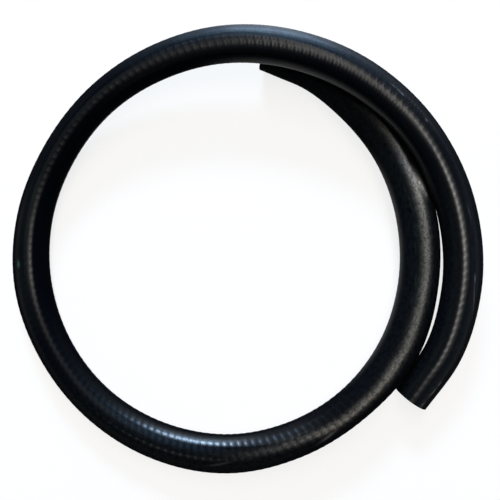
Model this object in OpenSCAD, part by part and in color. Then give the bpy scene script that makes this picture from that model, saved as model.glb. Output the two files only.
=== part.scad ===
// One-metre length of textile-reinforced rubber hose, cut square at both ends and
// lying in a loose spiral of about one and a third turns.
// The wall has three layers, bonded face to face: a smooth inner tube, a knitted
// textile reinforcement and an outer cover. Each end is tucked under the strand
// beside it, so the hose rests on itself over both ends.
// Millimetres. Z is up, the floor is Z = 0, the origin is the middle of the footprint.

/* [Wall] */
// Bore of the hose, a half-inch nominal size
bore_d = 13; // [10:0.5:14]
// Wall of the inner tube
inner_tube_wall = 1.6; // [0.8:0.1:2]
// Thickness of the knitted reinforcement
reinforcement_wall = 0.8; // [0.4:0.1:1.2]
// Wall of the outer cover
cover_wall = 1.6; // [0.8:0.1:2]

/* [Ends] */
// Straight length at each end, enough for a barbed tail and its clamp
end_straight = 21; // [16:1:30]
// Angle at which the inner end dips towards the floor
start_dip_angle = 2; // [0:0.5:5]
// Angle at which the outer end dips towards the floor
finish_dip_angle = 7.5; // [4:0.5:10]

/* [Lay] */
// Radius that the hose is coiled to
coil_r = 115; // [100:5:150]
// Clear gap left where one strand lies on another
lay_gap = 0.6; // [0.4:0.1:2]
// How far the hose's weight presses its underside flat, as a share of the diameter
flat_share = 0.1; // [0.04:0.01:0.12]

/* [Hidden] */

// radius of each boundary in the wall, from the bore outwards
bore_r = bore_d / 2;
tube_r = bore_r + inner_tube_wall;
knit_r = tube_r + reinforcement_wall;
hose_r = knit_r + cover_wall;
hose_d = 2 * hose_r;

// height of the centre line where the hose lies on the floor, and the step to one strand higher
floor_z = hose_r - flat_share * hose_d;
strand_rise = hose_d + lay_gap;

// The two cut ends: [clock angle, distance outside the coil's radius in hose diameters],
// and the heading of each inwards, from +X.
start_place = [11.2, 0.16];
start_heading = -23;
finish_place = [488.9, 0.98];
finish_heading = 54;

// The lay, clockwise from the start: [clock angle, distance outside the coil's radius in
// hose diameters, height in strands above the floor, squeeze of the section out of round
// as a share of its radius].
LAY = [
    [ 40, -0.17, 0.21,  0.09],
    [ 60, -0.21, 0.30,  0.00],
    [ 80, -0.21, 0.37, -0.08],
    [100, -0.17, 0.41, -0.07],
    [120, -0.07, 0.43, -0.09],
    [140, -0.05, 0.41,  0.03],
    [160,  0.02, 0.32,  0.01],
    [180,  0.12, 0.17, -0.05],
    [200,  0.14, 0.05, -0.03],
    [220,  0.14, 0.00,  0.02],
    [240,  0.12, 0.00,  0.02],
    [260,  0.12, 0.02, -0.03],
    [280,  0.05, 0.14,  0.03],
    [300, -0.05, 0.37,  0.10],
    [320, -0.07, 0.65,  0.11],
    [340, -0.05, 0.90,  0.05],
    [360,  0.05, 1.08,  0.00],
    [380,  0.19, 1.14, -0.02],
    [400,  0.40, 1.07, -0.03],
    [420,  0.64, 0.90, -0.01],
    [440,  0.83, 0.70, -0.04],
    [460,  0.98, 0.48, -0.04],
];
// the coil's centre lies off the footprint's middle by this many hose diameters, because
// the last third of a turn lies outside the first turn
centre_shift = [-0.424, 0.043];

// rings swept from one point of the lay to the next, steps for measuring, and sides of a ring
rings_per_step = 3;
measuring_steps = 8;
outer_sides = 16;
inner_sides = 8;
// how far the swept stretch starts inside each straight end, and how much slimmer it is there
joint_lap = 2;
joint_ease = 0.05;
$fn = 96;

function unit(v) = v / norm(v);
function heading_vector(heading, climb) =
    [cos(heading) * cos(climb), sin(heading) * cos(climb), sin(climb)];
function place_x(clock, outside) = centre_shift.x * hose_d + (coil_r + outside * hose_d) * sin(clock);
function place_y(clock, outside) = centre_shift.y * hose_d + (coil_r + outside * hose_d) * cos(clock);
// centre of a cut end whose lowest rim point stands on the floor
function tip(place, dip) = [
    place_x(place[0], place[1]),
    place_y(place[0], place[1]),
    hose_r * cos(dip)
];
function lay_point(p) = [
    place_x(p[0], p[1]),
    place_y(p[0], p[1]),
    floor_z + p[2] * strand_rise,
    p[3] * hose_r
];

start_dir = heading_vector(start_heading, start_dip_angle);
finish_dir = heading_vector(finish_heading, finish_dip_angle);
start_tip = tip(start_place, start_dip_angle);
finish_tip = tip(finish_place, finish_dip_angle);

// knots of the swept stretch: x, y, z and squeeze
function with_squeeze(p, squeeze) = [p.x, p.y, p.z, squeeze];
function place_of(k) = [k.x, k.y, k.z];
KNOTS = concat(
    [with_squeeze(start_tip + (end_straight - joint_lap) * start_dir, 0)],
    [with_squeeze(start_tip + end_straight * start_dir, 0)],
    [for (p = LAY) lay_point(p)],
    [with_squeeze(finish_tip + end_straight * finish_dir, 0)],
    [with_squeeze(finish_tip + (end_straight - joint_lap) * finish_dir, 0)]
);
LAST = len(KNOTS) - 1;

// direction of the curve at knot i, per millimetre of travel
function knot_slope(i) =
    i < 2 ? with_squeeze(start_dir, 0)
    : i > LAST - 2 ? with_squeeze(-finish_dir, 0)
    : (KNOTS[i + 1] - KNOTS[i - 1]) / norm(place_of(KNOTS[i + 1] - KNOTS[i - 1]));

// point of the smooth curve at share u of the way from knot i to the next
function on_curve(i, u) =
    let (
        a = KNOTS[i],
        b = KNOTS[i + 1],
        chord = norm(place_of(b - a)),
        slope_a = chord * knot_slope(i),
        slope_b = chord * knot_slope(i + 1)
    )
    (2 * u * u * u - 3 * u * u + 1) * a
    + (u * u * u - 2 * u * u + u) * slope_a
    + (3 * u * u - 2 * u * u * u) * b
    + (u * u * u - u * u) * slope_b;

function path(steps) = concat(
    [KNOTS[0]],
    [for (i = [1 : LAST - 2], k = [0 : steps - 1]) on_curve(i, k / steps)],
    [KNOTS[LAST - 1], KNOTS[LAST]]
);

ROUTE = path(rings_per_step);

// The whole centre line with its straight ends, finely enough to measure.
function straight_run(at, along, steps) =
    [for (k = [0 : steps - 1]) with_squeeze(at + k / steps * (end_straight - joint_lap) * along, 0)];
function reversed(list) = [for (k = [len(list) - 1 : -1 : 0]) list[k]];
CENTRE_LINE = concat(
    straight_run(start_tip, start_dir, measuring_steps),
    path(measuring_steps),
    reversed(straight_run(finish_tip, finish_dir, measuring_steps))
);

function total(list) = list * [for (item = list) 1];
hose_length = total([
    for (i = [1 : len(CENTRE_LINE) - 1]) norm(place_of(CENTRE_LINE[i] - CENTRE_LINE[i - 1]))
]);

// clear distance between the surfaces round two points of the centre line
function clear_between(a, b) =
    let (
        v = place_of(b - a),
        apart = norm(v),
        sideways = (v.x * v.x + v.y * v.y - v.z * v.z) / (apart * apart)
    )
    apart - hose_d + (a[3] + b[3]) * sideways;

half_turn = measuring_steps * len(LAY) / 2;
least_gap = min([
    for (i = [0 : len(CENTRE_LINE) - 1], j = [i + half_turn : 1 : len(CENTRE_LINE) - 1])
        clear_between(CENTRE_LINE[i], CENTRE_LINE[j])
]);
echo(str("length along the centre line: ", round(hose_length), " mm"));
echo(str("least gap from the hose to itself: ", round(least_gap * 100) / 100, " mm"));

function travel(route, i) =
    i == 0 ? start_dir
    : i == len(route) - 1 ? -finish_dir
    : unit(place_of(route[i + 1] - route[i - 1]));

// one ring of the wall boundary of radius r, with a side facing down, and held at its own
// layer's height above the floor where the underside is pressed flat
function ring(i, r, sides) =
    let (
        here = ROUTE[i],
        along = travel(ROUTE, i),
        across = unit(cross([0, 0, 1], along)),
        rise = cross(along, across),
        squeeze = here[3]
    )
    [for (k = [0 : sides - 1])
        let (
            turn = (k + 0.5) * 360 / sides,
            p = place_of(here) + (r - squeeze) * cos(turn) * across + (r + squeeze) * sin(turn) * rise
        )
        [p.x, p.y, max(p.z, hose_r - r)]
    ];

// the swept body inside a wall boundary of radius r
module swept(r, sides) {
    rings = len(ROUTE);
    points = [for (i = [0 : rings - 1]) each ring(i, r - joint_ease, sides)];
    near_cap = [for (k = [1 : sides - 2]) [0, k, k + 1]];
    far_cap = [for (k = [1 : sides - 2]) [0, k + 1, k] + (rings - 1) * sides * [1, 1, 1]];
    walls = [
        for (i = [0 : rings - 2], k = [0 : sides - 1])
            let (
                a = i * sides + k,
                b = i * sides + (k + 1) % sides
            )
            each [[a, a + sides, b + sides], [a, b + sides, b]]
    ];
    polyhedron(points, concat(near_cap, walls, far_cap));
}

// straight round stretch at a cut end, which also runs out past the end by `past`
module straight_end(at, heading, dip, r, past) {
    translate(at)
        rotate([0, 90 - dip, heading])
            translate([0, 0, -past])
                cylinder(h = end_straight + past, r = r);
}

// everything inside a wall boundary of radius r
module core(r, sides, past = 0) {
    swept(r, sides);
    straight_end(start_tip, start_heading, start_dip_angle, r, past);
    straight_end(finish_tip, finish_heading, finish_dip_angle, r, past);
}

module inner_tube() {
    color([0.10, 0.10, 0.11])
        difference() {
            core(tube_r, inner_sides);
            core(bore_r, inner_sides, past = 1);
        }
}

module reinforcement() {
    color([0.72, 0.70, 0.66])
        difference() {
            core(knit_r, inner_sides);
            core(tube_r, inner_sides, past = 1);
        }
}

module outer_cover() {
    color([0.03, 0.03, 0.04])
        difference() {
            core(hose_r, outer_sides);
            core(knit_r, inner_sides, past = 1);
        }
}

inner_tube();
reinforcement();
outer_cover();
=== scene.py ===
"""Looks of a one-metre length of textile-reinforced black rubber hose lying in a loose spiral.

The hose is built the way it is made: a smooth liner, a knitted sleeve round it and a cover that
takes the print of the knitting. All three are swept along one centre line, the one that the
solids follow. Metres, Z up, floor at Z = 0.
"""

import math

import bpy
import numpy as np
from mathutils import Matrix, Vector


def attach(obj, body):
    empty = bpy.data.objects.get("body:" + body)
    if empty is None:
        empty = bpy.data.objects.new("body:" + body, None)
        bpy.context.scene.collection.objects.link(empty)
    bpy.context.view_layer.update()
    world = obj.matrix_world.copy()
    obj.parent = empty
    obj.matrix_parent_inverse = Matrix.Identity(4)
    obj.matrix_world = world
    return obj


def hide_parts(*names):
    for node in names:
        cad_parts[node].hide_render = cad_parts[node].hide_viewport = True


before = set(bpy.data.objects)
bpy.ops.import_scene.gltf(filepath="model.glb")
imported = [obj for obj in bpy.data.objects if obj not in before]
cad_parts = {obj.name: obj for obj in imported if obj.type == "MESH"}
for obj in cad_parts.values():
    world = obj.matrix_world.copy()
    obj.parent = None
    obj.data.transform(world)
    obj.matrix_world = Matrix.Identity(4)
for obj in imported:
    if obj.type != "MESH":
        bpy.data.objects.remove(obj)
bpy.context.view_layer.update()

MM = 0.001

# ---- wall of the hose, in metres ----

BORE_R = 6.5 * MM
LINER_R = 8.1 * MM
KNIT_R = 8.9 * MM
HOSE_R = 10.5 * MM
HOSE_D = 2 * HOSE_R

# ---- the route of the centre line ----

COIL_R = 115 * MM

# straight length at each cut end, and how far before its end the curve begins
END_STRAIGHT = 21 * MM
JOINT_LAP = 2 * MM

# the strand on the floor is pressed flat by FLAT_SHARE diameters, and a strand that crosses over
# it is carried LAY_GAP above it
LAY_GAP = 0.6 * MM
FLAT_SHARE = 0.1
FLOOR_Z = HOSE_R - FLAT_SHARE * HOSE_D
STRAND_RISE = HOSE_D + LAY_GAP

# middle of the coil from the origin, in diameters
CENTRE_SHIFT = (-0.424, 0.043)

# clock angle, distance outside the coil's radius in diameters; heading inwards; dip to the floor
START_PLACE, START_HEADING, START_DIP = (11.2, 0.16), -23, 2
FINISH_PLACE, FINISH_HEADING, FINISH_DIP = (488.9, 0.98), 54, 7.5

# clock angle, distance outside the coil's radius in diameters, height in strands above the
# floor, squeeze of the section out of round as a share of its radius
LAY = [
    (40, -0.17, 0.21, 0.09),
    (60, -0.21, 0.30, 0.00),
    (80, -0.21, 0.37, -0.08),
    (100, -0.17, 0.41, -0.07),
    (120, -0.07, 0.43, -0.09),
    (140, -0.05, 0.41, 0.03),
    (160, 0.02, 0.32, 0.01),
    (180, 0.12, 0.17, -0.05),
    (200, 0.14, 0.05, -0.03),
    (220, 0.14, 0.00, 0.02),
    (240, 0.12, 0.00, 0.02),
    (260, 0.12, 0.02, -0.03),
    (280, 0.05, 0.14, 0.03),
    (300, -0.05, 0.37, 0.10),
    (320, -0.07, 0.65, 0.11),
    (340, -0.05, 0.90, 0.05),
    (360, 0.05, 1.08, 0.00),
    (380, 0.19, 1.14, -0.02),
    (400, 0.40, 1.07, -0.03),
    (420, 0.64, 0.90, -0.01),
    (440, 0.83, 0.70, -0.04),
    (460, 0.98, 0.48, -0.04),
]
CURVE_STEPS = 16
END_SHARES = (0, 0.25, 0.5, 0.75)


def heading_vector(heading, climb):
    """Unit vector at a heading from +X and a climb above the floor, both in degrees."""
    heading, climb = math.radians(heading), math.radians(climb)
    return np.array(
        [math.cos(heading) * math.cos(climb), math.sin(heading) * math.cos(climb), math.sin(climb)]
    )


def place(clock, outside):
    """X and Y at a clock angle, a number of diameters outside the coil's radius."""
    reach = COIL_R + outside * HOSE_D
    clock = math.radians(clock)
    return (
        CENTRE_SHIFT[0] * HOSE_D + reach * math.sin(clock),
        CENTRE_SHIFT[1] * HOSE_D + reach * math.cos(clock),
    )


def cut_end(where, dip):
    """Middle of a cut face whose lower rim rests on the floor."""
    return np.array([*place(*where), HOSE_R * math.cos(math.radians(dip))])


def centre_line():
    """Points of the centre line from end to end, each with its squeeze as a fourth number."""
    start, finish = cut_end(START_PLACE, START_DIP), cut_end(FINISH_PLACE, FINISH_DIP)
    start_dir = heading_vector(START_HEADING, START_DIP)
    finish_dir = heading_vector(FINISH_HEADING, FINISH_DIP)
    knots = [np.r_[start + run * start_dir, 0] for run in (END_STRAIGHT - JOINT_LAP, END_STRAIGHT)]
    for clock, outside, height, squeeze in LAY:
        x, y = place(clock, outside)
        knots.append(np.array([x, y, FLOOR_Z + height * STRAND_RISE, squeeze * HOSE_R]))
    for run in (END_STRAIGHT, END_STRAIGHT - JOINT_LAP):
        knots.append(np.r_[finish + run * finish_dir, 0])
    last = len(knots) - 1

    def slope(i):
        """Direction of the line at a knot."""
        if i < 2:
            return np.r_[start_dir, 0]
        if i > last - 2:
            return np.r_[-finish_dir, 0]
        step = knots[i + 1] - knots[i - 1]
        return step / np.linalg.norm(step[:3])

    points = [np.r_[start + share * (knots[0][:3] - start), 0] for share in END_SHARES]
    points.append(knots[0])
    for i in range(1, last - 1):
        a, b = knots[i], knots[i + 1]
        chord = np.linalg.norm((b - a)[:3])
        for k in range(CURVE_STEPS):
            u = k / CURVE_STEPS
            points.append(
                (2 * u**3 - 3 * u**2 + 1) * a
                + (u**3 - 2 * u**2 + u) * chord * slope(i)
                + (3 * u**2 - 2 * u**3) * b
                + (u**3 - u**2) * chord * slope(i + 1)
            )
    points += [knots[last - 1], knots[last]]
    points += [np.r_[finish + share * (knots[last][:3] - finish), 0] for share in END_SHARES[::-1]]
    return np.array(points)


LINE = centre_line()
RUN = np.r_[0, np.cumsum(np.linalg.norm(np.diff(LINE[:, :3], axis=0), axis=1))]
HOSE_LENGTH = RUN[-1]
FINE_STEPS = 2000
SOFTENED_OVER = 9


def stations(runs):
    """Centre, travel, outward and upward vectors and squeeze at each run along the hose."""
    fine = np.linspace(0, HOSE_LENGTH, FINE_STEPS + 1)
    spots = np.stack([np.interp(fine, RUN, LINE[:, k]) for k in range(4)], 1)
    travel = np.gradient(spots[:, :3], axis=0)
    travel /= np.linalg.norm(travel, axis=1, keepdims=True)
    soften = np.hanning(SOFTENED_OVER) / np.hanning(SOFTENED_OVER).sum()
    for k in range(3):
        padded = np.pad(travel[:, k], SOFTENED_OVER // 2, mode="edge")
        travel[:, k] = np.convolve(padded, soften, mode="valid")
    along = np.stack([np.interp(runs, fine, travel[:, k]) for k in range(3)], 1)
    along /= np.linalg.norm(along, axis=1, keepdims=True)
    out = np.cross([0, 0, 1], along)
    out /= np.linalg.norm(out, axis=1, keepdims=True)
    up = np.cross(along, out)
    here = np.stack([np.interp(runs, RUN, LINE[:, k]) for k in range(4)], 1)
    return here[:, :3], along, out, up, here[:, 3]


# ---- the print of the knitting ----

# courses of loops along the hose, knitted as a helix of FEEDS courses, and wales of loops round it
COURSES = 223
FEEDS = 4
COURSE_PITCH = HOSE_LENGTH / COURSES
WALES = 14
ZIGZAG = 0.35
PRINT_DEPTH = 0.17 * MM

# how far the half-pitch part of the print lags, in radians
HALF_LAG = 0.9

# unevenness of the print: waves of these lengths, each with at most so many turns round the hose,
# and the share of its depth that is left
UNEVEN_SEED = 5
UNEVEN_WAVES = 9
UNEVEN_SHORTEST, UNEVEN_LONGEST = 12 * MM, 90 * MM
UNEVEN_TURNS = 2
UNEVEN_MEAN, UNEVEN_SIZE = 0.85, 0.22
UNEVEN_LEAST, UNEVEN_MOST = 0.3, 1.1

# stretch where the outer half of the print is pressed only half as deep: its middle and reach in
# mm, and the sine of the turn where that begins and how softly
SHALLOW_MIDDLE, SHALLOW_REACH = 370, 55
SHALLOW_FROM, SHALLOW_SOFT = -0.4, 0.35
SHALLOW_SHARE = 0.5


def unevenness(run, turn):
    """Share of the print's depth that is left, changing smoothly along the hose and round it."""
    draw = np.random.default_rng(UNEVEN_SEED)
    total = np.zeros(np.broadcast(run, turn).shape)
    for _ in range(UNEVEN_WAVES):
        length = draw.uniform(UNEVEN_SHORTEST, UNEVEN_LONGEST)
        turns = draw.integers(-UNEVEN_TURNS, UNEVEN_TURNS + 1)
        lag = draw.uniform(0, 2 * math.pi)
        total = total + np.sin(2 * math.pi * run / length + turns * turn + lag)
    share = UNEVEN_MEAN + UNEVEN_SIZE * total / math.sqrt(UNEVEN_WAVES)
    return np.clip(share, UNEVEN_LEAST, UNEVEN_MOST)


def knit_phase(run, turn):
    """Phase of the courses: a helix of FEEDS courses, with a small zigzag from wale to wale."""
    zigzag = ZIGZAG * np.sin(WALES * turn)
    return 2 * math.pi * run / COURSE_PITCH + FEEDS * turn + zigzag


# run in mm, how deep the print is pressed, and the share of its half-pitch part
PRINT_ALONG = [
    (0, 0.35, 0.28), (190, 0.35, 0.28), (245, 0.85, 0.15), (290, 1.00, 0.15),
    (335, 1.00, 0.15), (355, 0.85, 0.15), (420, 0.80, 0.15), (460, 0.75, 0.20),
    (500, 0.75, 0.20), (525, 0.30, 0.30), (550, 0.30, 0.30), (575, 0.85, 0.35),
    (620, 0.75, 0.30), (680, 0.60, 0.35), (720, 0.65, 0.65), (790, 0.90, 0.60),
    (840, 0.60, 0.40), (880, 0.45, 0.30), (960, 0.35, 0.28), (992, 0.35, 0.28),
]


def knit_print(run, turn):
    """Depth of the print under the hose's full radius, from 0 on a crest to about 1 in a valley."""
    at, depth, half_share = np.array(PRINT_ALONG).T
    depth, half_share = np.interp(run / MM, at, depth), np.interp(run / MM, at, half_share)
    phase = knit_phase(run, turn)
    crest = 0.5 + 0.5 * np.cos(phase)
    half = 0.5 + 0.5 * np.cos(2 * phase + HALF_LAG)
    outer_half = np.clip((np.sin(turn) - SHALLOW_FROM) / SHALLOW_SOFT, 0, 1)
    shallow = np.exp(-(((run / MM - SHALLOW_MIDDLE) / SHALLOW_REACH) ** 4)) * outer_half
    depth = depth * unevenness(run, turn) * (1 - SHALLOW_SHARE * shallow)
    return depth * (1 - (1 - half_share) * crest - half_share * half)


# ---- meshes ----

# how far a knife strays from a square cut, and how far into the hose that is felt
CUT_WANDER = 0.11 * MM
CUT_FADE = 1.6 * MM

# its waves: their heights, their counts round the hose, and their lags at either end
CUT_HEIGHTS, CUT_COUNTS = (0.6, 0.3, 0.15), (1, 3, 7)
NEAR_LAGS, FAR_LAGS = (0.4, 2.1, 0.4), (2.6, 0.7, 2.6)

# how far the sides lie out and the top and underside in, and where from the ends that begins and
# is full
SPREAD = 0.22 * MM
SPREAD_BEGINS, SPREAD_FULL = 3 * MM, 15 * MM

# rings close to a cut: shares of the rubbed rim, or one distance where no rim is rubbed
RIM_SHARES = (0.07, 0.2, 0.4, 0.67, 1.0)
CUT_EDGE = 0.05 * MM

# flat map: the skin in strips of the same height, then the inner wall and the two cut faces
SKIN_STRIPS = 4
STRIP_LOW, STRIP_HEIGHT = 0.005, 0.2
INNER_STRIP = (0.82, 0.93)
MAP_LEFT, MAP_RIGHT = 0.004, 0.996
FACE_LOW, FACE_HIGH = 0.94, 0.995
NEAR_FACE, FAR_FACE = (0.01, 0.49), (0.51, 0.99)
STRIP_MARGIN = 0.02
FACE_MARGIN = 0.05


def cut_wander(run, turn):
    """How far the knife strayed from a square cut, fading out along the hose."""
    strayed = np.zeros(np.broadcast(run, turn).shape)
    for distance, lags in ((run, NEAR_LAGS), (HOSE_LENGTH - run, FAR_LAGS)):
        waves = zip(CUT_HEIGHTS, CUT_COUNTS, lags)
        shape = sum(height * np.sin(count * turn + lag) for height, count, lag in waves)
        strayed = strayed + shape * np.exp(-np.maximum(distance, 0) / CUT_FADE)
    return CUT_WANDER * strayed


def spread(runs):
    """How far each side of the hose lies out under its own weight."""
    from_end = np.minimum(runs, HOSE_LENGTH - runs)
    return SPREAD * np.clip((from_end - SPREAD_BEGINS) / (SPREAD_FULL - SPREAD_BEGINS), 0, 1)


def rings_at(runs, radius, sides, relief=0.0, first=0.5):
    """Ring points of a layer of the hose, and their places on the hose when it is straight.

    first is the place of the first corner, in sides from the top. No layer sinks into the floor
    or into the layer outside it, where the hose is pressed flat.
    """
    centre, along, out, up, squeeze = stations(runs)
    turn = (np.arange(sides) + first) * 2 * math.pi / sides
    run, turn = np.meshgrid(runs, turn, indexing="ij")
    nominal = np.asarray(radius, float).reshape(-1, 1) + 0 * run
    r = nominal - (relief(run, turn) if callable(relief) else relief)
    taller = (squeeze - spread(runs))[:, None]
    sideways, upward = (r - taller) * np.sin(turn), (r + taller) * np.cos(turn)
    points = (
        centre[:, None, :]
        + sideways[..., None] * out[:, None, :]
        + upward[..., None] * up[:, None, :]
        + cut_wander(run, turn)[..., None] * along[:, None, :]
    )
    points[..., 2] = np.maximum(points[..., 2], HOSE_R - nominal)
    straight = np.stack([run, r * np.sin(turn), r * np.cos(turn)], -1)
    return points, straight


def worked_rim(run_from_end, reach):
    """How far a rim is rubbed back from the full radius at this distance from the cut."""
    share = np.clip(1 - run_from_end / reach, 0, 1)
    return reach * (1 - np.sqrt(1 - share**2))


def end_spaced(step_count, start=0.0, rim=0.0):
    """Runs along the hose, evenly spaced and closer at the two cut rims."""
    finish = HOSE_LENGTH - start
    even = np.linspace(start, finish, step_count + 1)
    close = np.array(RIM_SHARES) * rim if rim else np.array([CUT_EDGE])
    return np.sort(np.concatenate([even, start + close, finish - close]))


def map_strip(rows, columns, first_row, row_count, low, high):
    """Place on the flat map of ring rows and columns (0 to 1 round the hose) in one strip."""
    u = MAP_LEFT + (MAP_RIGHT - MAP_LEFT) * (rows - first_row) / row_count
    v = low + (high - low) * (STRIP_MARGIN + (1 - 2 * STRIP_MARGIN) * columns)
    return np.stack([u, v], -1)


def map_face(rows, columns, first_row, row_count, left, right):
    """Place on the flat map of a cut face, spread round the hose from left to right."""
    across = (rows - first_row) / row_count
    v = FACE_LOW + (FACE_HIGH - FACE_LOW) * (FACE_MARGIN + (1 - 2 * FACE_MARGIN) * across)
    return np.stack([left + (right - left) * columns, v], -1)


def sleeve(outer, inner, sides, face_rings, first=0.5):
    """Closed sleeve: outer wall, far cut face, inner wall and near cut face, as one ring of rings.

    outer is (runs, radii, relief) and inner is (runs, radii), both from the near end to the far
    one. It gives the points, the faces, the points when straight and the faces' places on the map.
    """
    outer_runs, outer_radii, relief = outer
    inner_runs, inner_radii = inner
    share = np.linspace(0, 1, face_rings + 2)[1:-1]
    face_radii = outer_radii[-1] + (inner_radii[-1] - outer_radii[-1]) * share
    parts = [
        rings_at(outer_runs, outer_radii, sides, relief, first),
        rings_at(np.full(face_rings, outer_runs[-1]), face_radii, sides, 0.0, first),
        rings_at(inner_runs[::-1], inner_radii[::-1], sides, 0.0, first),
        rings_at(np.full(face_rings, outer_runs[0]), face_radii[::-1], sides, 0.0, first),
    ]
    points = np.concatenate([part[0] for part in parts]).reshape(-1, 3)
    straight = np.concatenate([part[1] for part in parts]).reshape(-1, 3)
    rings = len(points) // sides
    row, side = np.meshgrid(np.arange(rings), np.arange(sides), indexing="ij")
    corner_rows = np.stack([row, row + 1, row + 1, row], -1).reshape(-1, 4)
    corner_sides = np.stack([side, side, side + 1, side + 1], -1).reshape(-1, 4)
    faces = (corner_rows % rings) * sides + corner_sides % sides

    columns = corner_sides / sides
    rows_out, rows_in = len(outer_runs), len(inner_runs)
    far_start, in_start = rows_out - 1, rows_out + face_rings
    near_start = in_start + rows_in - 1
    spots = np.zeros((len(faces), 4, 2))
    of_row = row.ravel()
    strip_rows = math.ceil((rows_out - 1) / SKIN_STRIPS)
    for strip in range(SKIN_STRIPS):
        begin = strip * strip_rows
        count = min(strip_rows, rows_out - 1 - begin)
        mine = (of_row >= begin) & (of_row < begin + count)
        low, high = STRIP_LOW + STRIP_HEIGHT * strip, STRIP_LOW + STRIP_HEIGHT * (strip + 1)
        spots[mine] = map_strip(corner_rows[mine], columns[mine], begin, strip_rows, low, high)
    mine = (of_row >= in_start) & (of_row < near_start)
    spots[mine] = map_strip(
        corner_rows[mine], columns[mine], in_start, near_start - in_start, *INNER_STRIP
    )
    for begin, end, face in ((far_start, in_start, FAR_FACE), (near_start, rings, NEAR_FACE)):
        mine = (of_row >= begin) & (of_row < end)
        spots[mine] = map_face(corner_rows[mine], columns[mine], begin, end - begin, *face)
    return points, faces, straight, spots


def mesh_object(name, points, faces, straight=None, spots=None):
    """Object of four-sided faces, with its places on the straight hose and on the flat map."""
    mesh = bpy.data.meshes.new(name)
    mesh.vertices.add(len(points))
    mesh.vertices.foreach_set("co", np.asarray(points, np.float32).ravel())
    mesh.loops.add(faces.size)
    mesh.loops.foreach_set("vertex_index", faces.astype(np.int32).ravel())
    mesh.polygons.add(len(faces))
    mesh.polygons.foreach_set("loop_start", np.arange(0, faces.size, 4, dtype=np.int32))
    mesh.update(calc_edges=True)
    if straight is not None:
        place_of = mesh.attributes.new("straight", "FLOAT_VECTOR", "POINT")
        place_of.data.foreach_set("vector", np.asarray(straight, np.float32).ravel())
    if spots is not None:
        flat_map = mesh.uv_layers.new(name="OFBake")
        flat_map.data.foreach_set("uv", np.asarray(spots, np.float32).ravel())
    mesh.validate()
    mesh.shade_smooth()
    made = bpy.data.objects.new(name, mesh)
    bpy.context.scene.collection.objects.link(made)
    return made


# ---- cover ----

COVER_SIDES = 48
COVER_RINGS_PER_COURSE = 8
HIDDEN_STEPS = 110
RIM = 0.3 * MM


def cover_relief(run, turn):
    """Depth of the print under the cover's full radius."""
    return PRINT_DEPTH * knit_print(run, turn)


cover_runs = end_spaced(COURSES * COVER_RINGS_PER_COURSE, rim=RIM)
cover_rim = worked_rim(np.minimum(cover_runs, HOSE_LENGTH - cover_runs), RIM)
hidden_runs = end_spaced(HIDDEN_STEPS)
cover = mesh_object(
    "cover",
    *sleeve(
        (cover_runs, HOSE_R - cover_rim, cover_relief),
        (hidden_runs, np.full(len(hidden_runs), KNIT_R)),
        COVER_SIDES,
        face_rings=6,
    ),
)

# ---- knitted sleeve, with the cut yarns at its two ends ----

# the sleeve ends a little inside the cut, and only its yarns reach out
KNIT_RECESS = 0.3 * MM
KNIT_RELIEF = 0.3 * MM
KNIT_SIDES = 4 * WALES
KNIT_RINGS_PER_COURSE = 4

# loops: how far a leg leads its course, how low its sides lie, and how much a course rises
LEG_SLANT = 0.45
LEG_SIDE = 0.35
COURSE_RISE = 0.4

# tufts of cut yarn: how far each strays round the hose, in legs, and in or out, and how it leans
TUFT_SEED = 11
TUFT_STRAY_ROUND = 0.2
TUFT_STRAY_OUT = 0.1 * MM
TUFT_LEAN = 0.35

# filaments of a tuft: how many, how far from its middle, how deep they root, how far they reach
# out, how they splay and bend, how thick they are, and how clear they keep of the rubber
FILAMENTS = 9
YARN_WIDE, YARN_HIGH = 0.42 * MM, 0.22 * MM
ROOT_DEPTH = 0.5 * MM
PROUD_MOST = 0.36 * MM
SPLAY = 0.35 * MM
FILAMENT_BEND = 0.5
FILAMENT_THIN, FILAMENT_THICK = 0.05 * MM, 0.085 * MM
WALL_CLEARANCE = 0.02 * MM

# rings of a filament: share of its length, and thickness there
FILAMENT_RINGS = ((0.0, 1.0), (0.45, 1.0), (0.75, 1.0), (1.0, 0.6))


def knit_relief(run, turn):
    """Depth under the sleeve's full radius of chevrons of loops, two legs to a wale."""
    wale = WALES * turn / (2 * math.pi)
    leg = np.abs(2 * (wale % 1) - 1)
    helix = run / COURSE_PITCH + FEEDS * turn / (2 * math.pi)
    course = np.cos(2 * math.pi * (helix - LEG_SLANT * leg))
    height = LEG_SIDE + (1 - LEG_SIDE) * np.abs(np.sin(2 * math.pi * wale))
    return KNIT_RELIEF * (1 - height * (1 - COURSE_RISE + COURSE_RISE * course))


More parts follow.
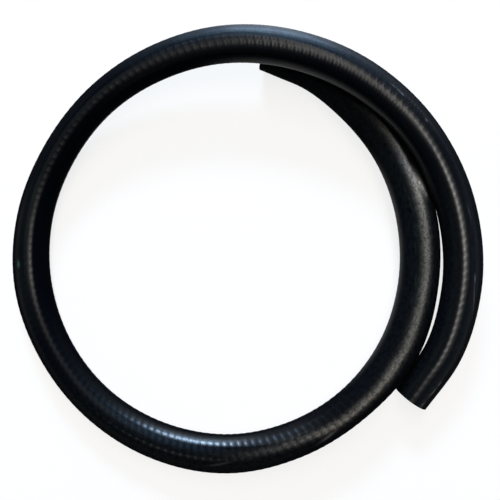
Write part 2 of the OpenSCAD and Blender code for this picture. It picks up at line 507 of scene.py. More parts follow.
def yarn_tufts():
    """Filaments of the cut yarns, a splayed tuft for each leg of each wale at both ends."""
    draw = np.random.default_rng(TUFT_SEED)
    around = np.arange(4) * math.pi / 2
    innermost, outermost = LINER_R + WALL_CLEARANCE, KNIT_R - WALL_CLEARANCE
    points, straight, faces = [], [], []
    for end_run, outwards in ((0.0, -1), (HOSE_LENGTH, 1)):
        centre, along, out, up, _ = (v[0] for v in stations(np.array([end_run])))
        for leg in range(2 * WALES):
            stray = draw.uniform(-TUFT_STRAY_ROUND, TUFT_STRAY_ROUND)
            base_turn = (leg + 0.5 + stray) * math.pi / WALES
            base_r = 0.5 * (LINER_R + KNIT_R) + draw.uniform(-TUFT_STRAY_OUT, TUFT_STRAY_OUT)
            lean = draw.uniform(-TUFT_LEAN, TUFT_LEAN, 2)
            for _ in range(FILAMENTS):
                root_turn = base_turn + draw.uniform(-YARN_WIDE, YARN_WIDE) / base_r
                root_r = base_r + draw.uniform(-YARN_HIGH, YARN_HIGH)
                root = -KNIT_RECESS - ROOT_DEPTH
                length = draw.uniform(0.0, PROUD_MOST) - root
                bend = lean + draw.uniform(-FILAMENT_BEND, FILAMENT_BEND, 2)
                thick = draw.uniform(FILAMENT_THIN, FILAMENT_THICK)
                first = len(points)
                for share, thickness in FILAMENT_RINGS:
                    depth = root + share * length
                    splay = share**2 * SPLAY
                    turn = root_turn + bend[0] * splay / root_r
                    r = np.clip(root_r + bend[1] * splay, innermost, outermost)
                    for a in around:
                        side = r * math.sin(turn) + thick * thickness * math.cos(a)
                        lift = r * math.cos(turn) + thick * thickness * math.sin(a)
                        points.append(centre + side * out + lift * up + outwards * depth * along)
                        straight.append((end_run + outwards * depth, side, lift))
                for ring in range(len(FILAMENT_RINGS) - 1):
                    for k in range(4):
                        low, high = first + 4 * ring, first + 4 * ring + 4
                        quad = [low + k, low + (k + 1) % 4, high + (k + 1) % 4, high + k]
                        faces.append(quad if outwards > 0 else quad[::-1])
                bottom = [first + k for k in (3, 2, 1, 0)]
                tip = [len(points) - 4 + k for k in range(4)]
                faces += [bottom, tip] if outwards > 0 else [bottom[::-1], tip[::-1]]
    return np.array(points), np.array(faces), np.array(straight)


# flat map of the tufts: one small rectangle for each face, in rows between the skin and the rest
TUFTS_PER_ROW = 64
TUFT_ROWS = 80
TUFT_MAP_LEFT, TUFT_MAP_WIDTH = 0.01, 0.98
TUFT_MAP_LOW, TUFT_MAP_HEIGHT = 0.806, 0.012
TUFT_CELL = (0.012, 0.00012)

knit_runs = end_spaced(COURSES * KNIT_RINGS_PER_COURSE, start=KNIT_RECESS)
inside_runs = end_spaced(HIDDEN_STEPS, start=KNIT_RECESS)
knit_points, knit_faces, knit_straight, knit_spots = sleeve(
    (knit_runs, np.full(len(knit_runs), KNIT_R), knit_relief),
    (inside_runs, np.full(len(inside_runs), LINER_R)),
    KNIT_SIDES,
    face_rings=2,
    first=0.0,
)
tuft_points, tuft_faces, tuft_straight = yarn_tufts()
tuft_row, tuft_column = np.divmod(np.arange(len(tuft_faces)), TUFTS_PER_ROW)
tuft_u = TUFT_MAP_LEFT + TUFT_MAP_WIDTH * tuft_column / TUFTS_PER_ROW
tuft_v = TUFT_MAP_LOW + TUFT_MAP_HEIGHT * tuft_row / TUFT_ROWS
tuft_spots = np.stack([tuft_u, tuft_v], -1)
tuft_corners = np.array([(0, 0), (1, 0), (1, 1), (0, 1)]) * TUFT_CELL
knit = mesh_object(
    "knit_sleeve",
    np.concatenate([knit_points, tuft_points]),
    np.concatenate([knit_faces, tuft_faces + len(knit_points)]),
    np.concatenate([knit_straight, tuft_straight]),
    np.concatenate([knit_spots, tuft_spots[:, None, :] + tuft_corners]),
)

# ---- liner ----

LINER_SIDES = 40
LINER_STEPS = 224
LINER_RIM = 0.2 * MM
LINER_OUTER_RIM_SHARE = 0.3

liner_runs = end_spaced(LINER_STEPS, rim=LINER_RIM)
liner_rim = worked_rim(np.minimum(liner_runs, HOSE_LENGTH - liner_runs), LINER_RIM)
liner = mesh_object(
    "liner",
    *sleeve(
        (liner_runs, LINER_R - LINER_OUTER_RIM_SHARE * liner_rim, 0.0),
        (liner_runs, BORE_R + liner_rim),
        LINER_SIDES,
        face_rings=4,
    ),
)

# ---- shader nodes ----


class Wire:
    """An output of a shader node, on which arithmetic adds Math nodes."""

    def __init__(self, finish, socket):
        self.finish, self.socket = finish, socket

    def math(self, operation, *values):
        return self.finish.node("Math", dict(enumerate(values)), operation=operation)

    def __add__(self, other):
        return self.math("ADD", self, other)

    def __sub__(self, other):
        return self.math("SUBTRACT", self, other)

    def __rsub__(self, other):
        return self.math("SUBTRACT", other, self)

    def __mul__(self, other):
        return self.math("MULTIPLY", self, other)

    def __truediv__(self, other):
        return self.math("DIVIDE", self, other)

    __radd__ = __add__
    __rmul__ = __mul__

    def clamped(self):
        return self.math("MINIMUM", self.math("MAXIMUM", self, 0.0), 1.0)

    def size(self):
        return self.math("ABSOLUTE", self)

    def sine(self):
        return self.math("SINE", self)

    def exponential(self):
        return self.math("EXPONENT", self)

    def most(self, other):
        return self.math("MAXIMUM", self, other)


class Finish:
    """A material and its nodes."""

    def __init__(self, name):
        self.material = bpy.data.materials.new(name)
        self.material.use_nodes = True
        self.tree = self.material.node_tree
        self.tree.nodes.clear()

    def node(self, kind, inputs=None, output=0, **settings):
        """New shader node with its settings and inputs, wires or values, as a wire of an output."""
        made = self.tree.nodes.new("ShaderNode" + kind)
        for key, value in settings.items():
            setattr(made, key, value)
        for key, value in (inputs or {}).items():
            if isinstance(value, Wire):
                self.tree.links.new(value.socket, made.inputs[key])
            else:
                made.inputs[key].default_value = value
        return None if output is None else Wire(self, made.outputs[output])

    def straight(self):
        """Run along the hose in mm, angle from the top towards the outside, and vector in mm."""
        stored = self.node("Attribute", output="Vector", attribute_name="straight")
        in_mm = self.node("VectorMath", {0: stored, "Scale": 1 / MM}, operation="SCALE")
        run, y, z = self.parts(in_mm)
        return run, y.math("ARCTAN2", y, z) * (180 / math.pi), in_mm

    def parts(self, vector):
        """The three numbers of a vector."""
        outputs = self.node("SeparateXYZ", {0: vector}).socket.node.outputs
        return [Wire(self, output) for output in outputs]

    def radius(self, where):
        """Distance from the middle of the hose in mm."""
        return self.length(self.stretched(where, (0.0, 1.0, 1.0)))

    def length(self, vector):
        return self.node("VectorMath", {0: vector}, "Value", operation="LENGTH")

    def noise(self, where, scale, detail=2.0, roughness=0.5):
        inputs = {"Vector": where, "Scale": scale, "Detail": detail, "Roughness": roughness}
        return self.node("TexNoise", inputs)

    def stretched(self, where, factors):
        return self.node("VectorMath", {0: where, 1: factors}, operation="MULTIPLY")

    def step(self, value, none, full):
        """Smooth step from 0 to 1 between two values, falling where full is the lower."""
        inputs = {"Value": value, "From Min": none, "From Max": full}
        return self.node("MapRange", inputs, interpolation_type="SMOOTHSTEP")

    def window(self, value, start, finish, soft):
        """1 between two values and 0 outside them, softened over a stretch inside them."""
        return self.step(value, start, start + soft) * self.step(value, finish, finish - soft)

    def blend(self, factor, first, second):
        inputs = {"Factor": factor, 6: first, 7: second}
        return self.node("Mix", inputs, output=2, data_type="RGBA")

    def curve(self, value, points):
        """Smooth curve through given points, read at value, which runs from 0 to 1."""
        low = min(y for _, y in points)
        high = max(y for _, y in points)
        made = self.node("FloatCurve", {"Value": value})
        mapping = made.socket.node.mapping
        line = mapping.curves[0]
        while len(line.points) < len(points):
            line.points.new(0.5, 0.5)
        for point, (x, y) in zip(line.points, points):
            point.location = (x, (y - low) / (high - low))
        mapping.update()
        return made * (high - low) + low

    def cut_face(self, where, low, high):
        """Share of the skin, 0 within a radius in mm, and marks of a knife drawn across."""
        run, y, z = self.parts(where)
        cosine, sine = KNIFE_SLANT
        across, along = cosine * y + sine * z, cosine * z - sine * y
        scaled = [part * scale for part, scale in zip((across, along, run), KNIFE_SCALES)]
        drawn = self.node("CombineXYZ", dict(enumerate(scaled)))
        return self.step(self.radius(where), low, high), self.noise(drawn, 1.0, 3.0, 0.6)

    def print_phase(self, run, angle):
        """Phase of the knit's courses, as in knit_phase."""
        turn = angle * (math.pi / 180)
        pitch = COURSE_PITCH / MM
        return run * (2 * math.pi / pitch) + FEEDS * turn + ZIGZAG * (turn * WALES).sine()

    def relief(self, strength, height):
        """Normal that is tilted by a fine relief, of a tenth of a millimetre for a height of 1."""
        inputs = {"Strength": strength, "Distance": 0.1 * MM, "Height": height}
        return self.node("Bump", inputs)

    def surface(self, shader):
        self.node("OutputMaterial", {"Surface": shader}, output=None)
        return self.material

    def principled(self, inputs):
        return self.surface(self.node("BsdfPrincipled", inputs))


# ---- what the finishes are made from ----

# colours, all linear
# black of the rubber, with a painted blue cast of the light added to it
BLACK_WITH_PAINTED_BLUE_CAST = (0.0007, 0.0011, 0.0022, 1)
CUT_BLACK = (0.011, 0.011, 0.012, 1)
LINER_BLACK = (0.010, 0.010, 0.011, 1)
KNIFE_GREY = (0.8, 0.8, 0.8, 1)
# tints of the bloom with its painted sheen, which also colour the scuff and the painted highlights
FIRST_BLOOM_SHEEN, LATER_BLOOM_SHEEN = (0.92, 0.88, 0.84, 1), (1.0, 0.87, 0.71, 1)
# painted blue sheen
PAINTED_SHEEN_BLUE = (0.6, 0.8, 1.0, 1)
# painted blue halo
PAINTED_HALO_BLUE = (0.25, 0.6, 1.0, 1)
DUST_GREEN = (0.9, 1.0, 0.85, 1)
# painted green reflection, and one green smudge
REFLECTION_AND_SMUDGE_GREEN = (0.55, 1.0, 0.75, 1)
MARK_GREY = (0.85, 0.85, 0.85, 1)
SOAKED_YARN, CLEAN_YARN = (0.045, 0.044, 0.042, 1), (0.62, 0.58, 0.5, 1)
TWIST_SHADE = (0.2, 0.19, 0.17, 1)
TALC_WHITE = (0.85, 0.85, 0.82, 1)

# textures of the cover: stretch along the hose, scale, detail and roughness of the noise
GRAIN = (1.0, 0.9, 3.0, 0.65)
SPECKLE = (0.55, 0.8, 3.0, 0.7)
STREAK = (0.12, 0.8, 2.0, 0.5)
MOTTLE = (0.6, 0.35, 2.0, 0.5)

# changes along the cover: place along the hose in metres, and the angle or strength there
BLOOM_SHEEN_ANGLE = [
    (0, 20), (0.10, 20), (0.14, 18), (0.18, 17), (0.20, 15), (0.22, 15), (0.245, 18), (0.27, 15),
    (0.29, 5), (0.32, 2), (1, 2),
]
BLOOM_SHEEN_STRENGTH = [
    (0, 0), (0.06, 0.01), (0.085, 0.05), (0.105, 0.16), (0.12, 0.18), (0.14, 0.115), (0.17, 0.11),
    (0.20, 0.10), (0.26, 0.14), (0.28, 0.10), (0.30, 0.055), (0.32, 0.02), (0.35, 0), (1, 0),
]
CROWN_POLISH = [
    (0, 0), (0.22, 0), (0.30, 0.02), (0.42, 0.03), (0.45, 0.04), (0.475, 0.11), (0.5, 0.38),
    (0.53, 0.72), (0.55, 0.78), (0.575, 0.5), (0.62, 0.6), (0.66, 0.64), (0.70, 0.52), (0.74, 0.35),
    (0.77, 0.32), (0.80, 0.49), (0.84, 0.78), (0.88, 1), (0.91, 1), (0.95, 1), (1, 1),
]
INNER_POLISH = [
    (0, 0), (0.22, 0.02), (0.255, 0.08), (0.28, 0.45), (0.30, 0.95), (0.325, 1), (0.34, 0.95),
    (0.36, 0.84), (0.375, 0.64), (0.40, 0.38), (0.42, 0.18), (0.46, 0.08), (0.50, 0), (1, 0),
]
OUTER_POLISH = [
    (0, 0), (0.62, 0), (0.65, 0.03), (0.68, 0.16), (0.70, 0.42), (0.72, 0.88), (0.735, 0.9),
    (0.75, 0.66), (0.77, 0.42), (0.80, 0.2), (0.83, 0.1), (0.86, 0.04), (0.90, 0), (1, 0),
]
PAINTED_SHEEN_STRENGTH = [
    (0, 0), (0.62, 0), (0.65, 0.004), (0.68, 0.014), (0.70, 0.028), (0.72, 0.043), (0.735, 0.048),
    (0.75, 0.038), (0.78, 0.013), (0.82, 0.004), (0.86, 0.0025), (0.90, 0.004), (1, 0.003),
]
DUST_STRENGTH = [
    (0, 0.003), (0.10, 0.0035), (0.20, 0.003), (0.27, 0.002), (0.33, 0.003), (0.42, 0.0022),
    (0.48, 0), (0.80, 0), (0.86, 0.0015), (0.92, 0.0025), (1, 0.002),
]

# each pair is where something begins and where it is full: a RUN in mm along the hose, a SIDE in
# degrees from the top towards the outside

# bloom and painted sheen: its half width, raggedness and shift in degrees; how far it fades on the
# outside of its middle, where its outer side is clear near the cut, and what the print takes out of
# it
BLOOM_SHEEN_HALF_WIDTH, BLOOM_SHEEN_RAGGED, BLOOM_SHEEN_SHIFT = 10.5, 8, 1.5
BLOOM_SHEEN_FADE, FADE_SIDE = 0.6, (0, 12)
CLEAR_RUN, CLEAR_SIDE = (114, 106), (20, 30)
BLOOM_SHEEN_PRINTED, PRINTED_RUN = 0.5, (220, 280)
TINT_RUN = (96, 124)

# painted highlight dashes in the valleys and what the crests add, and the painted highlight line's
# middle and half width
DASH_VALLEY, DASH_CREST = 0.004, 0.014
HIGHLIGHT_LINE_ANGLE, HIGHLIGHT_LINE_HALF_WIDTH = -3.0, 4.4
HIGHLIGHT_LINE_STRENGTH = 0.07

# crown: its middle and how far from that it reaches; its inner edge on the far left, and how far
# that bulges; where it leans inwards; where it is narrowed; and the flanks beside it
CROWN_MIDDLE, CROWN_WITHIN = 3, (46, 24)
FAR_LEFT_SIDE, BULGE = (-14, -28), 5
TILT_MORE, TILT_MORE_SIDE = 0.35, (-4, -14)
TILT_LESS, TILT_LESS_SIDE = 0.4, (-4, 6)
NARROWED, NARROWED_RUN = 0.8, (800, 850)
NARROW_MIDDLE, NARROW_BEYOND = 2.5, (3.5, 12)
STROKES = 0.45
FLANK = (26, 52)

# polish on the inner side: its two edges, how far the upper one shifts, and where it is duller
INNER_UPPER_SIDE, INNER_LOWER_SIDE = (-25, -36), (-72, -42)
INNER_SHIFT, SHIFT_RUN = 17, (335, 290)
INNER_DULL, DULL_RUN, DULL_SIDE = 0.7, (330, 300), (-30, -46)

# polish on the outer side and where it is rubbed off, more of it later; rims and underside
OUTER_SIDE = (22, 42)
RUBBED, RUBBED_MORE, MORE_RUN, RUBBED_SIDE = 0.45, 0.4, (740, 790), (40, 62)
RIM_POLISH, RIM_SIDE = 0.3, (-46, -70)
UNDERSIDE_POLISH, UNDERSIDE_BEYOND = 0.55, (86, 112)

# painted sheen: its two edges, of which the upper one is sharper later
SHEEN_LOWER_SIDE = (95, 62)
SHEEN_FROM, SHEEN_FULL, SHEEN_SHARPER, SHARPER_RUN = 9, 27, 8, (780, 850)

# strength of the painted halo and the painted green reflection, the halo's fading, and the noise
# that streaks the green reflection
HALO_STRENGTH, HALO_FADE, HALO_FADE_RUN = 0.01, 0.8, (382, 435)
GREEN_REFLECTION_STRENGTH, GREEN_REFLECTION_STREAKS = 0.006, (0.5, 0.62)

# radii in mm between a cut face and a skin, and how far yarns are proud of a cut to be clean
COVER_SKIN = (10.05, 10.2)
KNIT_SKIN = (8.55, 8.85)
BORE_SKIN = (6.62, 6.7)
PROUD_NONE, PROUD_FULL = 0.02, 0.1

# twist of the yarn: its phase in radians for each mm along and each degree round, and its shade
TWIST_A_MM, TWIST_A_DEGREE = 14, 0.9
TWIST_STRENGTH = 0.18

# knife marks on the cut faces: cosine and sine of their slant, scales across, along and through
# the face, noise where they begin and are full, how pale and how high they are
KNIFE_SLANT = (0.8, 0.6)
KNIFE_SCALES = (3.2, 0.25, 0.01)
KNIFE_MARKS = (0.52, 0.72)
KNIFE_STRENGTH = 0.03
CUT_RELIEF = 2.5

# roughness of the cut faces; the bore's talc, how pale and from which noise
CUT_ROUGHNESS = 0.75
TALC_STRENGTH, TALC_CLOUDS = 0.05, (0.42, 0.72)

# stretches of the cover: run in mm where each begins and ends, and how far inside that it fades
FAR_LEFT = (440, 660, 50)
FAR_LEFT_BULGE = (440, 570, 40)
TOP_TILT = (660, 775, 38)
TOP_STROKES = (740, 835, 25)
NEAR_RIM = (82, 260, 50)
FAR_RIM = (680, 900, 60)
HIGHLIGHT_LINE = (830, 985, 30)
HALO = (320, 480, 50)
GREEN_REFLECTION = (90, 215, 40)

# bands round the cover in the same way, in degrees
HALO_BAND = (-46, -2, 16)
GREEN_BAND = (-22, -6, 7)

# where the crown's polish is dulled: a stretch, the strength, and the angles where the dulling
# begins and is full
CROWN_DULLED = [
    ((470, 680, 50), 0.8, 0, 12),
    ((530, 690, 40), 1.0, 16, 32),
    ((620, 805, 50), 1.0, 9, 19),
    ((730, 835, 30), 0.3, 3, -7),
]

# marks on the cover: run in mm, angle from the top towards the outside, half length in mm, half
# width in degrees, strength, and slant in degrees a mm where it has one
LIGHT_MARKS = [
    (338.5, 26, 4.5, 3.6, 0.018, 1.1),
    (334, 20, 3.0, 2.6, 0.012, 1.0),
    (275, 33, 5.0, 5.0, 0.06, 0.8),
    (805, 27, 1.2, 2.4, 0.10),
    (802.5, 28, 0.9, 1.8, 0.08),
    (824, 27, 1.0, 2.2, 0.09),
    (799, 28, 1.6, 1.6, 0.06),
    (878, 27, 4.0, 1.6, 0.03, 0.3),
    (914, 30, 2.0, 2.2, 0.08, 0.5),
    (924, 35, 7.0, 1.3, 0.06, 0.9),
    (973.5, 40, 1.3, 2.8, 0.07),
    (979.5, 40, 3.0, 2.8, 0.08, -0.3),
    (988.5, 37, 1.8, 3.4, 0.05, -0.6),
    (117, 20, 0.9, 3.0, 0.16),
    (119, 31, 0.7, 2.4, 0.42),
    (122.3, 37, 0.9, 2.4, 0.20),
    (125.8, 41, 1.0, 3.0, 0.12),
]
DARK_MARKS = [
    (772, 31, 3.0, 2.4, 0.9, 1.6),
    (766, 27, 2.4, 1.6, 0.7, 1.4),
    (700, 30, 4.0, 1.2, 0.5, 0.2),
]
SCUFF = (120.5, 33, 5.0, 9.0, 0.17, 0.6)
# painted highlight dashes
DASHES = (365, 10, 42.0, 4.5, 1.0)
GREEN_SPOT = (512, 27, 1.8, 4.5, 0.05)


class Skin:
    """The cover's places and textures, and the marks and stretches drawn from them."""

    def __init__(self, finish):
        self.finish, self.step = finish, finish.step
        self.run, self.angle, self.where = finish.straight()
        self.grain, self.speckle, self.streak, self.mottle = (
            self.texture(*texture) for texture in (GRAIN, SPECKLE, STREAK, MOTTLE)
        )
        self.phase = finish.print_phase(self.run, self.angle)
        self.crest = 0.5 + 0.5 * (self.phase + math.pi / 2).sine()

    def texture(self, stretch, scale, detail, roughness):
        stretched = self.finish.stretched(self.where, (stretch, 1.0, 1.0))
        return self.finish.noise(stretched, scale, detail, roughness)

    def along(self, table):
        """Value along the hose from a table."""
        return self.finish.curve(self.run * MM, table)

    def between(self, stretch):
        """1 on a stretch of the hose and 0 off it."""
        return self.finish.window(self.run, *stretch)

    def after(self, none, full):
        """0 before one run along the hose and 1 after another."""
        return self.step(self.run, none, full)

    def beside(self, none, full):
        """0 at one angle round the hose and 1 from another."""
        return self.step(self.angle, none, full)

    def mark(self, run, angle, length, width, strength, slant=0.0):
        """Soft oval mark."""
        along = self.run - run
        across = self.angle - angle - slant * along
        along, across = along / length, across / width
        return (0.0 - along * along - across * across).exponential() * strength

    def marks(self, table):
        return sum(self.mark(*row) for row in table)


def bloom_and_sheen_of(skin):
    """Grey bloom with a painted sheen, a ragged band that wanders round the hose along its first
    third.
    """
    off = skin.angle - skin.along(BLOOM_SHEEN_ANGLE)
    ragged = (off + BLOOM_SHEEN_SHIFT + BLOOM_SHEEN_RAGGED * (skin.mottle - 0.5)) / BLOOM_SHEEN_HALF_WIDTH
    bloom_sheen = skin.along(BLOOM_SHEEN_STRENGTH) * (ragged * ragged * -math.log(2)).exponential()
    bloom_sheen = bloom_sheen * (1 - BLOOM_SHEEN_FADE * skin.step(off, *FADE_SIDE))
    bloom_sheen = bloom_sheen * (1 - skin.after(*CLEAR_RUN) * skin.beside(*CLEAR_SIDE))
    printed = BLOOM_SHEEN_PRINTED * skin.after(*PRINTED_RUN) * (1 - skin.crest)
    return bloom_sheen * (1.7 * skin.speckle + 2.5 * skin.grain - 1.2).most(0.0) * (1 - printed)


def painted_highlights_of(skin):
    """Painted highlights: dashes on the crests of the first turn, and a line along the top of the
    last strand.
    """
    dashes = skin.mark(*DASHES) * (DASH_VALLEY + DASH_CREST * skin.step(skin.crest, 0.45, 0.9))
    line = (skin.angle - HIGHLIGHT_LINE_ANGLE) / HIGHLIGHT_LINE_HALF_WIDTH
    line = skin.between(HIGHLIGHT_LINE) * (line * line * -1.0).exponential() * HIGHLIGHT_LINE_STRENGTH
    line = line * (0.6 + 0.7 * skin.step(skin.crest, 0.35, 0.85)) * (0.2 + 1.6 * skin.grain)
    return dashes + line


def crown_of(skin):
    """Polish along the top of the hose."""
    step, angle = skin.step, skin.angle
    crown = skin.along(CROWN_POLISH) * step((angle - CROWN_MIDDLE).size(), *CROWN_WITHIN)
    bulged = angle - BULGE * skin.between(FAR_LEFT_BULGE)
    crown = crown * (1 - skin.between(FAR_LEFT) * step(bulged, *FAR_LEFT_SIDE))
    tilt = TILT_MORE * skin.beside(*TILT_MORE_SIDE) - TILT_LESS * skin.beside(*TILT_LESS_SIDE)
    crown = crown * (1 + skin.between(TOP_TILT) * tilt)
    beyond = step((angle - NARROW_MIDDLE).size(), *NARROW_BEYOND)
    crown = crown * (1 - NARROWED * skin.after(*NARROWED_RUN) * beyond)
    for stretch, strength, none, full in CROWN_DULLED:
        crown = crown * (1 - strength * skin.between(stretch) * skin.beside(none, full))
    strokes = skin.between(TOP_STROKES) * (skin.phase * 2 + 1.0).sine() * (3 * skin.streak - 1)
    return crown * (1 + STROKES * strokes)


def inner_polish_of(skin):
    """Polish on the inner side of the first turn."""
    shifted = skin.angle - INNER_SHIFT * skin.after(*SHIFT_RUN)
    polish = skin.along(INNER_POLISH) * skin.step(shifted, *INNER_UPPER_SIDE)
    polish = polish * skin.beside(*INNER_LOWER_SIDE)
    return polish * (1 - INNER_DULL * skin.after(*DULL_RUN) * skin.beside(*DULL_SIDE))


def polish_of(skin):
    """Polish of the cover: on its crown, on both sides in places, on its rims and underneath."""
    rubbed = (RUBBED + RUBBED_MORE * skin.after(*MORE_RUN)) * skin.beside(*RUBBED_SIDE)
    outer = skin.along(OUTER_POLISH) * skin.beside(*OUTER_SIDE) * (1 - rubbed)
    rim = skin.between(NEAR_RIM).most(skin.between(FAR_RIM)) * skin.beside(*RIM_SIDE) * RIM_POLISH
    underside = UNDERSIDE_POLISH * skin.step(skin.angle.size(), *UNDERSIDE_BEYOND)
    polish = crown_of(skin).most(inner_polish_of(skin)).most(outer).most(rim).most(underside)
    worn = (1 - skin.marks(DARK_MARKS)).clamped()
    return polish * (0.4 + 0.6 * skin.streak + 0.6 * skin.grain) * worn


def painted_sheen_of(skin):
    """Painted blue sheen on the outer side of the second turn."""
    full = SHEEN_FULL - SHEEN_SHARPER * skin.after(*SHARPER_RUN)
    blue_sheen = skin.along(PAINTED_SHEEN_STRENGTH) * skin.beside(SHEEN_FROM, full) * skin.beside(*SHEEN_LOWER_SIDE)
    return blue_sheen * (0.9 * skin.streak + 1.7 * skin.grain - 0.3).most(0.0)


def painted_halo_of(skin):
    """Painted blue reflection, a faint halo on the crests round the inner polish."""
    halo = skin.between(HALO) * skin.finish.window(skin.angle, *HALO_BAND) * HALO_STRENGTH
    halo = halo * (0.5 + skin.step(skin.crest, 0.3, 0.9))
    return halo * (1 - HALO_FADE * skin.after(*HALO_FADE_RUN))


def green_reflection_and_smudge_of(skin):
    """Painted green reflection in faint streaks on the first strand, and one green smudge."""
    green_streaks = skin.between(GREEN_REFLECTION) * skin.finish.window(skin.angle, *GREEN_BAND)
    green_streaks = green_streaks * skin.step(skin.streak, *GREEN_REFLECTION_STREAKS) * GREEN_REFLECTION_STRENGTH
    return green_streaks + skin.mark(*GREEN_SPOT)


def cover_rubber():
    """Black rubber, weathered dull and polished in places, with a grey bloom and painted sheen on
    its first third, and painted highlights, sheen and reflections in places.
    """
    finish = Finish("cover_rubber")
    skin = Skin(finish)
    grainy = 0.3 + 1.4 * skin.grain
    scuff = skin.mark(*SCUFF) * (2.4 * skin.grain - 0.2).most(0.0)
    # pale: the grey bloom with its painted sheen, the scuff, and the painted highlight dashes and
    # line
    pale = (bloom_and_sheen_of(skin) + scuff + painted_highlights_of(skin)).clamped()
    pale_tint = finish.blend(skin.after(*TINT_RUN), FIRST_BLOOM_SHEEN, LATER_BLOOM_SHEEN)
    dust = skin.along(DUST_STRENGTH) * (5 * skin.speckle - 1.8).clamped()
    base = finish.blend(pale, BLACK_WITH_PAINTED_BLUE_CAST, pale_tint)
    # painted blue sheen
    base = finish.blend(painted_sheen_of(skin), base, PAINTED_SHEEN_BLUE)
    base = finish.blend(dust, base, DUST_GREEN)
    # painted blue halo
    base = finish.blend(painted_halo_of(skin) * grainy, base, PAINTED_HALO_BLUE)
    # painted green reflection and one green smudge
    base = finish.blend(green_reflection_and_smudge_of(skin), base, REFLECTION_AND_SMUDGE_GREEN)
    base = finish.blend(skin.marks(LIGHT_MARKS) * grainy, base, MARK_GREY)

    # the cut faces are dull, with the marks that the knife left across them
    outside, knife = finish.cut_face(skin.where, *COVER_SKIN)
    cut = 1 - outside
    base = finish.blend(outside, CUT_BLACK, base)
    base = finish.blend(cut * finish.step(knife, *KNIFE_MARKS) * KNIFE_STRENGTH, base, KNIFE_GREY)
    flank = finish.step((skin.angle - CROWN_MIDDLE).size(), *FLANK)
    roughness = 0.42 + 0.5 * flank + 0.12 * (skin.grain - 0.5)
    height = (skin.grain + scuff) * outside + cut * CUT_RELIEF * knife
    return finish.principled(
        {
            "Base Color": base,
            "Roughness": roughness * outside + cut * CUT_ROUGHNESS,
            "Specular IOR Level": 0.01,
            "Coat Weight": polish_of(skin) * outside,
            "Coat Roughness": 0.3,
            "Normal": finish.relief(0.35, height),
        }
    )


def knit_textile():
    """Undyed polyester yarn, its loops greyed by the rubber that was pressed between them."""
    finish = Finish("knit_textile")
    run, angle, where = finish.straight()
    fibre = finish.noise(finish.stretched(where, (1.0, 6.0, 6.0)), 2.2, 3.0, 0.6)
    mottle = finish.noise(where, 0.5, 2.0)
    twist = 0.5 + 0.5 * (run * TWIST_A_MM + angle * TWIST_A_DEGREE).sine()
    raised = finish.step(finish.radius(where), *KNIT_SKIN)
    length = HOSE_LENGTH / MM
    near = finish.step(run, -PROUD_NONE, -PROUD_FULL)
    proud = near.most(finish.step(run, length + PROUD_NONE, length + PROUD_FULL))
    clean = (0.25 + 0.75 * raised.most(proud)) * (0.5 + 0.5 * mottle + 0.35 * (fibre - 0.5))
    base = finish.blend(clean.clamped(), SOAKED_YARN, CLEAN_YARN)
    base = finish.blend(twist * TWIST_STRENGTH, base, TWIST_SHADE)
    return finish.principled(
        {
            "Base Color": base,
            "Roughness": 0.8 + 0.15 * mottle,
            "Specular IOR Level": 0.25,
            "Sheen Weight": 0.25,
            "Sheen Roughness": 0.5,
            "Normal": finish.relief(0.6, fibre + 0.7 * twist),
        }
    )


def liner_rubber():
    """Smooth black rubber with faint lines along it from the die and a dusting of talc."""
    finish = Finish("liner_rubber")
    _, _, where = finish.straight()
    drawn = finish.noise(finish.stretched(where, (0.03, 2.6, 2.6)), 1.0, 3.0, 0.6)
    cloud = finish.noise(finish.stretched(where, (0.4, 1.0, 1.0)), 0.45, 3.0, 0.6)
    grain = finish.noise(where, 2.4, 2.0)
    wall, knife = finish.cut_face(where, *BORE_SKIN)
    bore = 1 - wall
    talc = finish.step(cloud, *TALC_CLOUDS) * TALC_STRENGTH * (0.5 + grain) * bore
    base = finish.blend(talc, LINER_BLACK, TALC_WHITE)
    base = finish.blend(wall * finish.step(knife, *KNIFE_MARKS) * KNIFE_STRENGTH, base, KNIFE_GREY)
    height = bore * (drawn + 0.3 * grain) + wall * CUT_RELIEF * knife
    return finish.principled(
        {
            "Base Color": base,
            "Roughness": 0.5 + 0.25 * wall + 0.2 * (cloud - 0.5),
            "Specular IOR Level": 0.3,
            "Normal": finish.relief(0.3, height),
        }
    )


cover.data.materials.append(cover_rubber())
knit.data.materials.append(knit_textile())
liner.data.materials.append(liner_rubber())

# ---- what each piece stands for ----

for piece, node, slot in (
    (cover, "outer_cover", "cover_rubber"),
    (knit, "reinforcement", "knit_textile"),
    (liner, "inner_tube", "liner_rubber"),
):
    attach(piece, "root")
    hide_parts(node)

PATH_STEPS = 240

path_points = stations(np.linspace(0, HOSE_LENGTH, PATH_STEPS + 1))[0]

# ---- stage ----

# half width of the flat floor, radius of the curve up to the wall and height of the wall, in metres
FLOOR_REACH = 4.5
SWEEP_R = 1.5
WALL_TOP = 2.4
FLAT_PART, CURVED_PART, WALL_PART = 0.7, 0.15, 0.15
CELLS = 48

# how much of the floor's look takes a shadow, and the reach where that begins and is full
FLOOR_MATT = (0.86, 0.8, 0.75, 1)
SHADOW_SHARE = 0.18
SHADOW_OUT, SHADOW_IN = 0.4, 0.13


def pale_floor():
    """Matt white that shows as plain white far from the hose and keeps its soft shadow near it."""
    finish = Finish("pale_floor")
    rays = finish.node("LightPath").socket.node.outputs
    kinds = ("Is Camera Ray", "Is Glossy Ray", "Is Transmission Ray")
    camera_ray, glossy_ray, through_ray = (Wire(finish, rays[kind]) for kind in kinds)
    seen = (camera_ray + glossy_ray + through_ray).clamped()
    reach = finish.length(finish.node("TexCoord", output="Object"))
    matt = finish.node("BsdfDiffuse", {"Color": FLOOR_MATT})
    white = finish.node("Emission", {"Color": (1, 1, 1, 1), "Strength": 1.0})
    share = seen * (1 - SHADOW_SHARE * finish.step(reach, SHADOW_OUT, SHADOW_IN))
    mixed = finish.node("MixShader", {0: share, 1: matt, 2: white})
    return finish.surface(mixed)


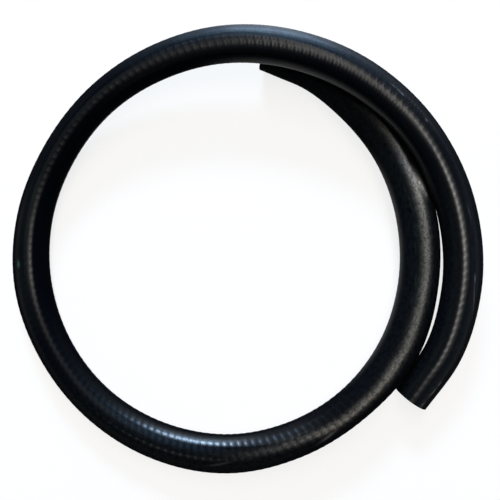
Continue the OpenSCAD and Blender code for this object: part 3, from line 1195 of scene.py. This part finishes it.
def studio_sweep():
    """Flat round floor that curves up into a low wall all round."""
    ticks = np.linspace(-1, 1, CELLS + 1)
    u, v = np.meshgrid(ticks, ticks, indexing="ij")
    outwards = np.maximum(np.abs(u), np.abs(v))
    length = np.maximum(np.hypot(u, v), 1e-9)
    bend = np.clip((outwards - FLAT_PART) / CURVED_PART, 0, 1) * math.pi / 2
    climb = np.clip((outwards - FLAT_PART - CURVED_PART) / WALL_PART, 0, 1)
    reach = np.minimum(outwards / FLAT_PART, 1) * FLOOR_REACH + SWEEP_R * np.sin(bend)
    rise = SWEEP_R * (1 - np.cos(bend)) + climb * (WALL_TOP - SWEEP_R)
    points = np.stack([reach * u / length, reach * v / length, rise], -1).reshape(-1, 3)
    row, column = np.meshgrid(np.arange(CELLS), np.arange(CELLS), indexing="ij")
    corner = (row * (CELLS + 1) + column).ravel()
    faces = np.stack([corner, corner + CELLS + 1, corner + CELLS + 2, corner + 1], -1)
    return mesh_object("floor", points, faces)


floor = studio_sweep()
floor.data.materials.append(pale_floor())

SKY_COLOUR, SKY_STRENGTH = (0.9, 0.95, 1.0, 1), 0.03

world = bpy.data.worlds.new("studio")
bpy.context.scene.world = world
world.use_nodes = True
background = world.node_tree.nodes["Background"].inputs
background["Color"].default_value = SKY_COLOUR
background["Strength"].default_value = SKY_STRENGTH


def facing(where, back, right):
    """Matrix of a lamp or camera at a point, from its backward and right-hand directions."""
    up = back.cross(right)
    return Matrix([(right[i], up[i], back[i], where[i]) for i in range(3)] + [(0, 0, 0, 1)])


def soft_lamp(name, towards, distance, size, power, colour):
    """Area lamp in the given direction from the middle of the coil, facing it."""
    data = bpy.data.lights.new(name, "AREA")
    data.shape = "RECTANGLE"
    data.size, data.size_y = size
    data.energy = power
    data.color = colour
    lamp = bpy.data.objects.new(name, data)
    back = Vector(towards).normalized()
    right = Vector((0, 1, 0)).cross(back).normalized()
    lamp.matrix_world = facing(back * distance, back, right)
    lamp.visible_camera = False
    bpy.context.scene.collection.objects.link(lamp)


# name, direction, distance, size, power in watts and colour
soft_lamp("overhead", (0.1, 0.27, 1.0), 4.0, (1.0, 3.4), 125.0, (1.0, 0.96, 0.91))
soft_lamp("window", (-0.05, 0.835, 0.54), 3.0, (0.9, 0.5), 114.0, (0.53, 0.74, 1.0))
soft_lamp("low_panel", (0.0, 0.98, 0.14), 1.5, (1.2, 0.36), 8.0, (0.4, 0.65, 1.0))
soft_lamp("sky_fill", (0.0, 0.7, 0.7), 3.2, (2.4, 1.4), 16.0, (0.25, 0.55, 1.0))
soft_lamp("left_fill", (-0.8, 0.0, 0.75), 1.5, (0.8, 0.8), 1.2, (0.7, 1.0, 0.9))

# ---- camera ----

CAMERA_AT = Vector((42.81, -22.86, 558.14)) * MM
LOOKING_AT = Vector((4.44, 1.13, 10.0)) * MM
FOCAL_IN_FRAMES = 941.8 / 500

view = bpy.data.cameras.new("camera")
view.sensor_width = 36
view.lens = FOCAL_IN_FRAMES * view.sensor_width
view.clip_start = 0.02
camera = bpy.data.objects.new("camera", view)
back = (CAMERA_AT - LOOKING_AT).normalized()
right = Vector((0, 1, 0)).cross(back).normalized()
camera.matrix_world = facing(CAMERA_AT, back, right)
bpy.context.scene.collection.objects.link(camera)
bpy.context.scene.camera = camera
bpy.context.scene.view_settings.view_transform = "Standard"
